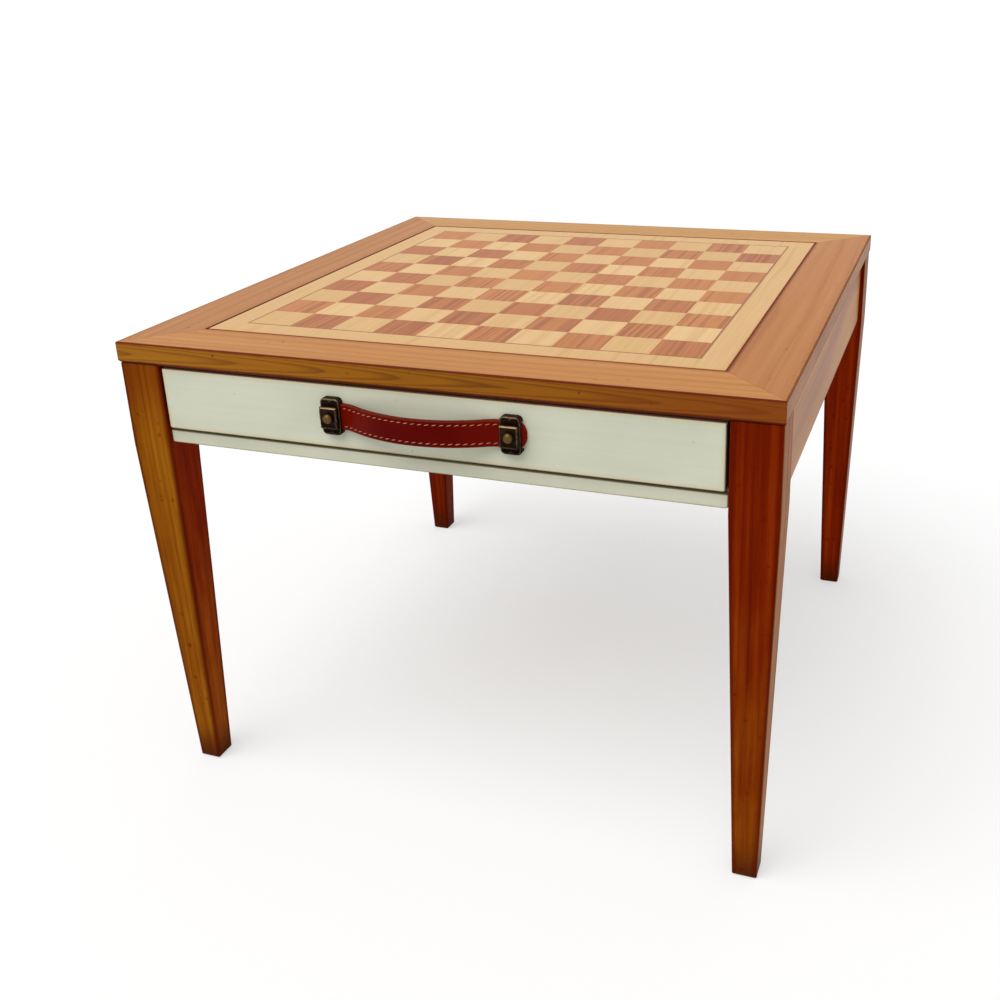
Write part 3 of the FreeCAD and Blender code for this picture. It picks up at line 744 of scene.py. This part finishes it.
stitch_inset = 0.0034
cognac = [(0.25, shade(94, 3, 0)), (0.8, shade(122, 16, 0))]
edge_brown = shade(128, 34, 12)
raw_brown = shade(92, 34, 18)
furrow_dark = shade(70, 8, 0)
leather = Finish("cognac_leather", {"Specular IOR Level": 0.04})
x, y, z = leather.place()
from_edge = strap_half - abs(z - handle_middle)
cloudy = leather.noise((x * 30, y * 30, z * 45), 3.0)
hide = leather.node("TexVoronoi", {}, {"Vector": leather.vector(x, y, z), "Scale": 900.0})
creases = leather.noise((x * 260, y * 260, z * 70), 3.0)
worn_ends = leather.step(abs(x), 0.02, 0.075)
colour = leather.ramp(cloudy * 0.6 + worn_ends * 0.4, cognac)
edge_dye = 1 - leather.step(from_edge, 0.0004, 0.0018)
colour = leather.mix(edge_dye * 0.6, colour, edge_brown)
raw_edge = 1 - leather.step(from_edge, 0.0001, 0.0006)
colour = leather.mix(raw_edge * 0.8, colour, raw_brown)
furrow = 1 - leather.step(abs(from_edge - stitch_inset), 0.0003, 0.0009)
leather.put("Base Color", leather.mix(furrow * 0.4, colour, furrow_dark))
leather.put("Roughness", 0.34 + creases * 0.2)
leather.bump(creases * 0.5 - hide * 0.25 - furrow * 1.2, 0.0004, 0.5)
strap.data.materials.append(leather.material)
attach(strap, "drawer")
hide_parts("handle_strap")


# ---- Stitches ----
# Waxed linen thread in two rows of slanted stitches on the strap's face and two on its back, each
# stitch sunk a little into the leather.
def settle(piece):
    """Turn a piece with a modifier into the plain mesh that the modifier gives."""
    evaluated = piece.evaluated_get(bpy.context.evaluated_depsgraph_get())
    mesh = bpy.data.meshes.new_from_object(evaluated)
    piece.modifiers.clear()
    piece.data = mesh


class Pattern:
    """A geometry node tree in the making, with its sizes as named inputs."""

    def __init__(self, name, sizes):
        self.tree = bpy.data.node_groups.new(name, "GeometryNodeTree")
        self.tree.interface.new_socket("Shape", in_out="INPUT", socket_type="NodeSocketGeometry")
        self.tree.interface.new_socket("Shape", in_out="OUTPUT", socket_type="NodeSocketGeometry")
        self.sizes = sizes
        self.keys = {}
        for size in sizes:
            made = self.tree.interface.new_socket(size, in_out="INPUT", socket_type="NodeSocketFloat")
            self.keys[size] = made.identifier
        entry = self.tree.nodes.new("NodeGroupInput")
        self.entry = {socket.name: socket for socket in entry.outputs}

    def node(self, kind, settings, inputs, output=0):
        """One output of a new node, from its type, its settings and what its sockets take."""
        made = self.tree.nodes.new(kind)
        for setting, value in settings.items():
            setattr(made, setting, value)
        for key, value in inputs.items():
            for each in value if isinstance(value, list) else [value]:
                if isinstance(each, bpy.types.NodeSocket):
                    self.tree.links.new(each, made.inputs[key])
                else:
                    made.inputs[key].default_value = each
        return made.outputs[output]

    def stored(self, name, data_type):
        """The value stored under a name on each point."""
        settings = {"data_type": data_type}
        return self.node("GeometryNodeInputNamedAttribute", settings, {"Name": name})

    def facing(self):
        """Rotation that turns +Z to the direction stored on each point."""
        direction = {"Vector": self.stored("facing", "FLOAT_VECTOR")}
        return self.node("FunctionNodeAlignRotationToVector", {"axis": "Z"}, direction)

    def copies(self, points, shape, rotation, scale):
        """Instances of a shape on points."""
        inputs = {"Points": points, "Instance": shape, "Rotation": rotation, "Scale": scale}
        return self.node("GeometryNodeInstanceOnPoints", {}, inputs)

    def grown(self, name, base, copies, material):
        """Plain mesh of the copies that the tree lays out on a base mesh."""
        real = self.node("GeometryNodeRealizeInstances", {}, {"Geometry": copies})
        coated = {"Geometry": real, "Material": material}
        coated = self.node("GeometryNodeSetMaterial", {}, coated)
        exit_node = self.tree.nodes.new("NodeGroupOutput")
        self.tree.links.new(coated, exit_node.inputs[0])
        carrier = bpy.data.objects.new(name, base)
        scene.collection.objects.link(carrier)
        modifier = carrier.modifiers.new("pattern", "NODES")
        modifier.node_group = self.tree
        for size, value in self.sizes.items():
            modifier[self.keys[size]] = value
        settle(carrier)
        return carrier


linen = [(0.3, shade(222, 142, 114)), (0.75, shade(186, 92, 68))]
thread = Finish("linen_thread", {"Specular IOR Level": 0.3})
x, y, z = thread.place()
twist = thread.noise((x * 2600, y * 2600, z * 1500), 1.0)
wax = thread.noise((x * 90, y * 90, z * 90))
thread.put("Base Color", thread.ramp(wax * 0.6 + twist * 0.4, linen))
thread.put("Roughness", 0.6 + twist * 0.2)
thread.bump(twist, 0.0002, 0.5)

stitch_end = half_span - 0.003
stitch_lift = 0.00005
stitch_slant = math.radians(-13)
seams = bmesh.new()
for offset in (strap_thickness + stitch_lift, -stitch_lift):
    half_row = [place for place in strap_line(offset) if place[0] < stitch_end]
    whole_row = [(-run, out) for run, out in reversed(half_row[1:])] + half_row
    for rise in (1, -1):
        height = handle_middle + rise * (strap_half - stitch_inset)
        row = [seams.verts.new((run, drawer_face - out, height)) for run, out in whole_row]
        for first, second in zip(row, row[1:]):
            seams.edges.new((first, second))
row_mesh = bpy.data.meshes.new("stitch_rows")
seams.to_mesh(row_mesh)
seams.free()
sewing = Pattern("stitch_layout", {"Pitch": 0.0062, "Length": 0.0045, "Thread": 0.0008})
curve = sewing.node("GeometryNodeMeshToCurve", {}, {"Mesh": sewing.entry["Shape"]})
spaced = {"Curve": curve, "Length": sewing.entry["Pitch"]}
spaced = sewing.node("GeometryNodeResampleCurve", {"mode": "LENGTH"}, spaced)
bead = {"Segments": 8, "Rings": 6, "Radius": 0.5}
bead = sewing.node("GeometryNodeMeshUVSphere", {}, bead)
along = {"Vector": sewing.node("GeometryNodeInputTangent", {}, {})}
along = sewing.node("FunctionNodeAlignRotationToVector", {"axis": "X", "pivot_axis": "Z"}, along)
slant = sewing.node("FunctionNodeAxisAngleToRotation", {}, {0: (0, 1, 0), 1: stitch_slant})
slanted = {"Rotation": along, "Rotate By": slant}
slanted = sewing.node("FunctionNodeRotateRotation", {"rotation_space": "LOCAL"}, slanted)
girth = sewing.entry["Thread"]
stitch_size = sewing.node("ShaderNodeCombineXYZ", {}, {0: sewing.entry["Length"], 1: girth, 2: girth})
laid = sewing.copies(spaced, bead, slanted, stitch_size)
stitches = sewing.grown("strap_stitches", row_mesh, laid, thread.material)
stitches.data.shade_smooth()
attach(stitches, "drawer")


# ---- Strap plates ----
# Dark bronze castings bent over the strap's ends, each with a raised rim. They are patinated
# nearly black and worn bright along their rims, brighter on upward faces as a painted highlight,
# and their lower halves are painted darker as shade.
corner_steps = 6
least_round = 0.0002
# Heights across which the painted shade low on the handle gives way to the dark colour above.
painted_shade_low = handle_middle - 0.013
painted_shade_high = handle_middle + 0.006


def pad(name, middle_x, width, height, corner, steps):
    """Solid on the drawer's face from steps of inset, distance out and wear."""
    rows = []
    for inset, out, _ in steps:
        round_off = max(corner - inset, least_round)
        row = []
        for quarter, (right, up) in enumerate(((1, 1), (-1, 1), (-1, -1), (1, -1))):
            centre_x = middle_x + right * (width / 2 - inset - round_off)
            centre_z = handle_middle + up * (height / 2 - inset - round_off)
            for step in range(corner_steps + 1):
                angle = math.radians(90) * (quarter + step / corner_steps)
                corner_x = centre_x + math.cos(angle) * round_off
                corner_z = centre_z + math.sin(angle) * round_off
                row.append(Vector((corner_x, drawer_face - out, corner_z)))
        rows.append(row)
    return swept(name, rows, [wear for _, _, wear in steps])


def metal(name, dark, painted_shade_dark, pale, clouds):
    """Cast metal, worn pale with a painted highlight facing up, dark above and painted shade below.
    """
    finish = Finish(name, {"Metallic": 1.0})
    x, y, z = finish.place()
    worn = finish.node("Attribute", {"attribute_name": "wear"}, {}, "Fac")
    cast = finish.noise((x * clouds, y * clouds, z * clouds), 3.0)
    fine = finish.noise((x * 2600, y * 2600, z * 2600), 1.0)
    facing = finish.node("NewGeometry", {}, {}, "Normal")
    upward = finish.node("SeparateXYZ", {}, {0: facing}, 2)
    # Worn metal is pale, and shows brighter on faces that point up as a painted highlight.
    worn_and_lit = finish.step(worn * (upward * 0.5 + 0.75) + (cast - 0.5) * 0.8, 0.4, 1.0)
    above_painted_shade = finish.step(z, painted_shade_low, painted_shade_high)
    finish.put("Base Color", finish.mix(worn_and_lit, finish.mix(above_painted_shade, painted_shade_dark, dark), pale))
    finish.put("Roughness", 0.42 - worn_and_lit * 0.12 + cast * 0.2)
    finish.bump(cast * 0.6 + fine * 0.2, 0.0002, 0.5)
    return finish.material


def cutting_box(name, size, centre):
    """Closed box to cut another piece with."""
    made = bmesh.new()
    bmesh.ops.create_cube(made, size=1.0)
    for corner in made.verts:
        corner.co = corner.co * Vector(size) + Vector(centre)
    return finished(name, made)


def cut_out(piece, cutter):
    """Cut a closed shape out of a piece, and leave the piece a plain mesh."""
    cut = piece.modifiers.new("cut", "BOOLEAN")
    cut.object = cutter
    cut.solver = "EXACT"
    settle(piece)


bronze = metal("dark_bronze", dark=shade(46, 31, 22), painted_shade_dark=shade(20, 12, 8),
               pale=shade(128, 106, 80), clouds=700)
plate_width = plate_high.x - plate_low.x
plate_height = plate_high.z - plate_low.z
plate_corner = 0.0042
plate_out = drawer_face - plate_low.y
plate_middle = (plate_low.x + plate_high.x) / 2
plate_steps = [
    (0.0, 0.0, 0.0), (0.0, plate_out - 0.0013, 0.0), (0.0003, plate_out - 0.0005, 0.5),
    (0.0010, plate_out, 0.9), (0.0016, plate_out, 0.6), (0.0022, plate_out - 0.0006, 0.0),
    (0.0028, plate_out - 0.0008, 0.0),
]
strap_play = 0.0003
room_size = (4 * plate_middle, 2 * strap_thickness, 2 * (strap_half + strap_play))
strap_room = cutting_box("strap_room", room_size, (0, drawer_face, handle_middle))
for side, sign in (("left", -1), ("right", 1)):
    name = "bronze_plate_" + side
    plate = pad(name, sign * plate_middle, plate_width, plate_height, plate_corner, plate_steps)
    cut_out(plate, strap_room)
    plate.data.materials.append(bronze)
    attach(plate, "drawer")
    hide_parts("strap_plate_" + side)
bpy.data.objects.remove(strap_room)


# ---- Clamp blocks ----
# Raised bronze blocks cast to clamp the plates onto the strap, one on each plate, chamfered and
# slightly dished round their screws.
block_low, block_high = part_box("clamp_block_right")
block_width = block_high.x - block_low.x
block_height = block_high.z - block_low.z
block_corner = 0.0008
block_out = drawer_face - block_low.y
plate_floor = plate_out - 0.0009
block_steps = [
    (0.0, plate_floor, 0.0), (0.0, block_out - 0.0012, 0.5), (0.0011, block_out, 0.9),
    (0.0015, block_out, 0.6), (0.0020, block_out - 0.0004, 0.0),
]
for side, sign in (("left", -1), ("right", 1)):
    name = "bronze_block_" + side
    block = pad(name, sign * plate_middle, block_width, block_height, block_corner, block_steps)
    block.data.materials.append(bronze)
    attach(block, "drawer")
    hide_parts("clamp_block_" + side)


# ---- Domed screws and lip pins ----
# Brass domes over the screws that hold each block, plate and strap end to the drawer front, and
# small round-headed pins through the plates' lips.
def turned(name, profile, facets):
    """Turned shape round +Z from its radii and heights, closed at both ends."""
    angles = [math.radians(360) * facet / facets for facet in range(facets)]
    rows = []
    for radius, height in profile:
        rows.append([Vector((radius * math.cos(angle), radius * math.sin(angle), height))
                     for angle in angles])
    return swept(name, rows)


def marked_points(name, places, marks):
    """Loose points, with the values to store on them by name: their type and one for each point."""
    points = bpy.data.meshes.new(name + "_places")
    points.from_pydata(places, [], [])
    for mark, (data_type, values) in marks.items():
        stored = points.attributes.new(mark, data_type, "POINT")
        field = "vector" if data_type == "FLOAT_VECTOR" else "value"
        for number, value in enumerate(values):
            setattr(stored.data[number], field, value)
    return points


def placed(prototype, name, places, facing, material):
    """One plain mesh of a prototype set at each place, its +Z turned to a direction."""
    marks = {"facing": ("FLOAT_VECTOR", [facing] * len(places))}
    points = marked_points(name, places, marks)
    layout = Pattern(name + "_layout", {"Size": 1.0})
    shape = layout.node("GeometryNodeObjectInfo", {}, {"Object": prototype}, "Geometry")
    spots = layout.node("GeometryNodeMeshToPoints", {}, {"Mesh": layout.entry["Shape"]})
    set_out = layout.copies(spots, shape, layout.facing(), layout.entry["Size"])
    return layout.grown(name, points, set_out, material)


dome_steps = 12


def dome_profile(radius, neck, height):
    """Radii and heights of a low dome on a short neck."""
    bulge = (radius ** 2 + height ** 2) / (2 * height)
    sweep = math.asin(radius / bulge)
    profile = [(radius * 0.92, 0.0), (radius, neck * 0.3), (radius, neck)]
    for step in range(1, dome_steps):
        angle = sweep * (1 - step / dome_steps)
        profile.append((bulge * math.sin(angle), neck + height - bulge * (1 - math.cos(angle))))
    return profile


screw_low, screw_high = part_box("handle_screws")
dome_radius = (screw_high.z - screw_low.z) / 2
dome_reach = drawer_face - screw_low.y
dome_base = block_out - 0.0005
dome_neck = 0.0011
dome_rise = dome_reach - dome_base - dome_neck
aged_brass = [(0.15, shade(40, 27, 12)), (0.8, shade(98, 74, 38))]
brass = Finish("aged_brass", {"Metallic": 1.0})
x, y, z = brass.place()
spot = brass.noise((x * 420, y * 420, z * 420), 3.0)
rubbed_top = brass.step(drawer_face - y, block_out, dome_reach)
brass.put("Base Color", brass.ramp(rubbed_top * 0.7 + spot * 0.5, aged_brass))
brass.put("Roughness", 0.30 + spot * 0.24)
brass.bump(spot, 0.0001, 0.4)
dome = turned("dome", dome_profile(dome_radius, dome_neck, dome_rise), 32)
dome_places = [(side * plate_middle, drawer_face - dome_base, handle_middle) for side in (-1, 1)]
domes = placed(dome, "brass_domes", dome_places, (0, -1, 0), brass.material)
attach(domes, "drawer")
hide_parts("handle_screws")

pin_low, pin_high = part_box("plate_pins")
pin_radius = 0.0014
pin_height = 0.0010
pin_neck = 0.0003
pin_rise = (pin_high.z - pin_low.z) / 2 - pin_radius
pin = turned("pin", dome_profile(pin_radius, pin_neck, pin_height - pin_neck), 20)
pin_places = []
for side in (-1, 1):
    for rise in (-1, 1):
        height = handle_middle + rise * pin_rise
        pin_places.append((side * plate_middle, drawer_face - plate_floor, height))
pin_metal = metal("pin_bronze", dark=shade(84, 66, 50), painted_shade_dark=shade(50, 38, 28),
                  pale=shade(176, 146, 110), clouds=900)
pins = placed(pin, "lip_pins", pin_places, (0, -1, 0), pin_metal)
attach(pins, "drawer")
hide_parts("plate_pins")
bpy.data.objects.remove(dome)
bpy.data.objects.remove(pin)


# ---- Wood screws ----
# Countersunk slotted steel screws that hold the drawer guides, the top, the corner blocks and the
# drawer's bottom. Their heads lie flush.
def loose_solids(mesh):
    """The points of each separate solid in a mesh."""
    made = bmesh.new()
    made.from_mesh(mesh)
    bmesh.ops.remove_doubles(made, verts=made.verts, dist=1e-6)
    unseen = set(made.verts)
    solids = []
    for start in made.verts:
        if start in unseen:
            solid = set()
            front = {start}
            while front:
                unseen -= front
                solid |= front
                edges = {edge for corner in front for edge in corner.link_edges}
                front = {corner for edge in edges for corner in edge.verts} & unseen
            solids.append([corner.co.copy() for corner in made.verts if corner in solid])
    made.free()
    return solids


def screw_spots(node):
    """Head centre, pointing direction, length and head radius of each screw in a node."""
    spots = []
    for points in loose_solids(nodes[node].data):
        low = Vector([min(point[axis] for point in points) for axis in range(3)])
        high = Vector([max(point[axis] for point in points) for axis in range(3)])
        size = high - low
        middle = (low + high) / 2
        axis = max(range(3), key=lambda each: size[each])
        spread = [(point - middle).length_squared - (point - middle)[axis] ** 2 for point in points]
        rim = points[spread.index(max(spread))]
        head_on_high = rim[axis] > middle[axis]
        out = Vector((0, 0, 0))
        out[axis] = 1.0 if head_on_high else -1.0
        head = middle.copy()
        head[axis] = high[axis] if head_on_high else low[axis]
        spots.append((head, out, size[axis], min(size) / 2))
    return spots


def wood_screws(name, from_nodes, body):
    """One mesh of the screws of several nodes, each as long as in its node."""
    spots = [spot for node in from_nodes for spot in screw_spots(node)]
    centres, directions, lengths, radii = [list(column) for column in zip(*spots)]
    marks = {"facing": ("FLOAT_VECTOR", directions), "reach": ("FLOAT", lengths)}
    points = marked_points(name, centres, marks)
    layout = Pattern(name + "_layout", {"Head radius": radii[0], "Shank radius": shank_radius})
    spots_in = layout.node("GeometryNodeMeshToPoints", {}, {"Mesh": layout.entry["Shape"]})
    shape = layout.node("GeometryNodeObjectInfo", {}, {"Object": screw_head}, "Geometry")
    heads = layout.copies(spots_in, shape, layout.facing(), layout.entry["Head radius"])
    shank = {"Vertices": 16, "Radius": layout.entry["Shank radius"], "Depth": 1.0}
    shank = layout.node("GeometryNodeMeshCylinder", {}, shank)
    shank = {"Geometry": shank, "Translation": (0.0, 0.0, -0.5)}
    shank = layout.node("GeometryNodeTransform", {}, shank)
    drawn_out = {0: 1.0, 1: 1.0, 2: layout.stored("reach", "FLOAT")}
    drawn_out = layout.node("ShaderNodeCombineXYZ", {}, drawn_out)
    shanks = layout.copies(spots_in, shank, layout.facing(), drawn_out)
    both = layout.node("GeometryNodeJoinGeometry", {}, {"Geometry": [heads, shanks]})
    screws = layout.grown(name, points, both, steel)
    screws.data.set_sharp_from_angle(angle=sharp_above)
    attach(screws, body)
    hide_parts(*from_nodes)


steel_grey = shade(96, 92, 86)
steel = metal("screw_steel", dark=steel_grey, painted_shade_dark=steel_grey, pale=shade(178, 176, 170),
              clouds=900)
shank_radius = 0.0019
# The head is modelled with a radius of 1, and the tree scales it.
head_cone = [(0.5, -0.62), (1.0, -0.08), (1.0, -0.02), (0.96, 0.0)]
slot_size = (3.0, 0.26, 0.5)
screw_head = turned("screw_head", head_cone, 40)
slot_cutter = cutting_box("slot_cutter", slot_size, (0, 0, 0))
cut_out(screw_head, slot_cutter)
wood_screws("table_screws", ["guide_screws", "top_screws", "corner_block_screws"], "table")
wood_screws("drawer_screws", ["drawer_bottom_screws"], "drawer")
for helper in (screw_head, slot_cutter):
    bpy.data.objects.remove(helper)
